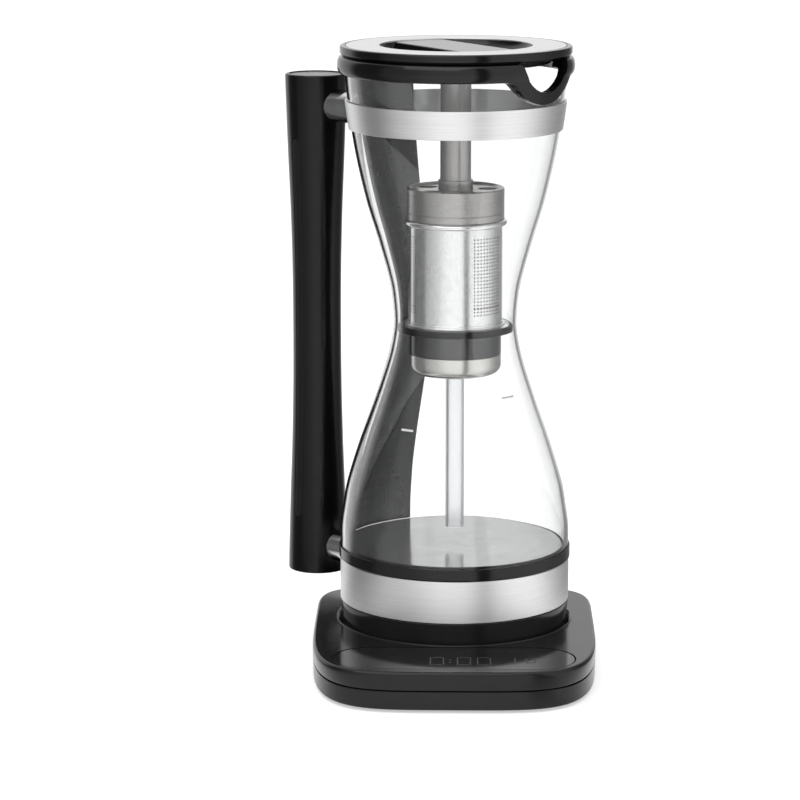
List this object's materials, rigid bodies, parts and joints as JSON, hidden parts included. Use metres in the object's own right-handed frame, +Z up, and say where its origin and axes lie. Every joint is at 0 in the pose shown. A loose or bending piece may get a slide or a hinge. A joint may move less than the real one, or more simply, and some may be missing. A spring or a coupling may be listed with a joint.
{
  "type": "single serve coffee maker",
  "caption": "Siphon coffee maker: hourglass glass jug with side handle, spout collar, steel bands and perforated basket on a flat heating base with a touch panel.",
  "frame": {"origin": "centre of the bounding box at the table, under the feet", "axes": "+Z up; the control panel faces -Y; +X is to the right seen from the front"},
  "size_m": [0.1319, 0.1518, 0.259],
  "materials": {
    "gloss_black": "high gloss",
    "black_plastic": "fine matt grain",
    "dark_window": "high gloss with fine lines",
    "display_grey": "matt",
    "spring_brass": "bright",
    "board_green": "matt lacquer",
    "relay_blue": "matt",
    "grey_rubber": "matt",
    "black_rubber": "soft satin",
    "plain_steel": "plain turned",
    "element_steel": "heat-tinted",
    "aluminium": "rolled",
    "cream_ceramic": "matt",
    "polished_steel": "polished",
    "brushed_band": "brushed round the band",
    "clear_glass": "clear and polished",
    "dark_chrome": "polished dark chrome",
    "inlay_grey": "gloss",
    "clear_silicone": "clear, soft satin",
    "clear_tube": "frosted clear",
    "filter_steel": "fine woven",
    "grey_steel": "brushed",
    "satin_steel": "satin",
    "satin_grey": "satin"
  },
  "bodies": {
    "base": {"base_lower_shell": "gloss_black", "base_upper_shell": "gloss_black", "control_window": "dark_window", "display_module": "display_grey", "touch_springs": "spring_brass", "control_board": "board_green", "power_board": "board_green", "power_relay": "relay_blue", "base_connector": "black_plastic", "base_contacts": "spring_brass", "base_feet": "grey_rubber", "base_screws": "plain_steel", "cord_gland": "black_rubber"},
    "jug": {"jug_cup": "gloss_black", "jug_floor": "black_plastic", "floor_screws": "plain_steel", "jug_connector": "black_plastic", "jug_contacts": "spring_brass", "heating_element": "element_steel", "heat_spreader": "aluminium", "thermal_cutoff": "cream_ceramic", "heating_plate": "polished_steel", "lower_band": "brushed_band", "seal_ring": "black_rubber", "glass_body": "clear_glass", "heat_shield": "gloss_black", "upper_band": "brushed_band", "upper_arm": "dark_chrome", "lower_arm": "dark_chrome", "handle_shell": "gloss_black", "handle_core": "plain_steel", "handle_inlays": "inlay_grey", "handle_top_cap": "gloss_black", "handle_bottom_cap": "gloss_black", "arm_screws": "plain_steel", "collar": "gloss_black", "waist_hoop": "black_rubber", "waist_web": "clear_silicone"},
    "basket": {"basket_wall": "polished_steel", "basket_sleeve": "black_rubber", "bottom_cup": "brushed_band", "siphon_tube": "clear_tube", "tube_bush": "clear_silicone", "filter_disc": "filter_steel"},
    "cap": {"basket_cap": "grey_steel", "stem_tube": "grey_steel", "stem_ring": "grey_steel", "stem_screw": "plain_steel"},
    "lid_ring": {"lid_seal": "black_rubber"},
    "lid": {"lid_body": "gloss_black", "lid_plate": "satin_steel", "lid_grip": "satin_grey"}
  },
  "joints": [
    {"name": "jug_lift", "type": "slide", "parent": "base", "child": "jug", "axis": [0, 0, 1], "range_m": [0, 0.06]},
    {"name": "lid_lift", "type": "slide", "parent": "jug", "child": "lid_ring", "axis": [0, 0, 1], "range_m": [0, 0.28]},
    {"name": "lid_turn", "type": "hinge", "parent": "lid_ring", "child": "lid", "pos_m": [0.00698, 0.01253, 0.2565], "axis": [0, 0, 1], "continuous": true},
    {"name": "basket_lift", "type": "slide", "parent": "jug", "child": "basket", "axis": [0, 0, 1], "range_m": [0, 0.215]},
    {"name": "cap_lift", "type": "slide", "parent": "basket", "child": "cap", "axis": [0, 0, 1], "range_m": [0, 0.06]}
  ],
  "couplings": [
    {"joint": "basket_lift", "follows": "lid_lift", "ratio": 0.75},
    {"joint": "cap_lift", "follows": "lid_lift", "ratio": 0.2}
  ]
}
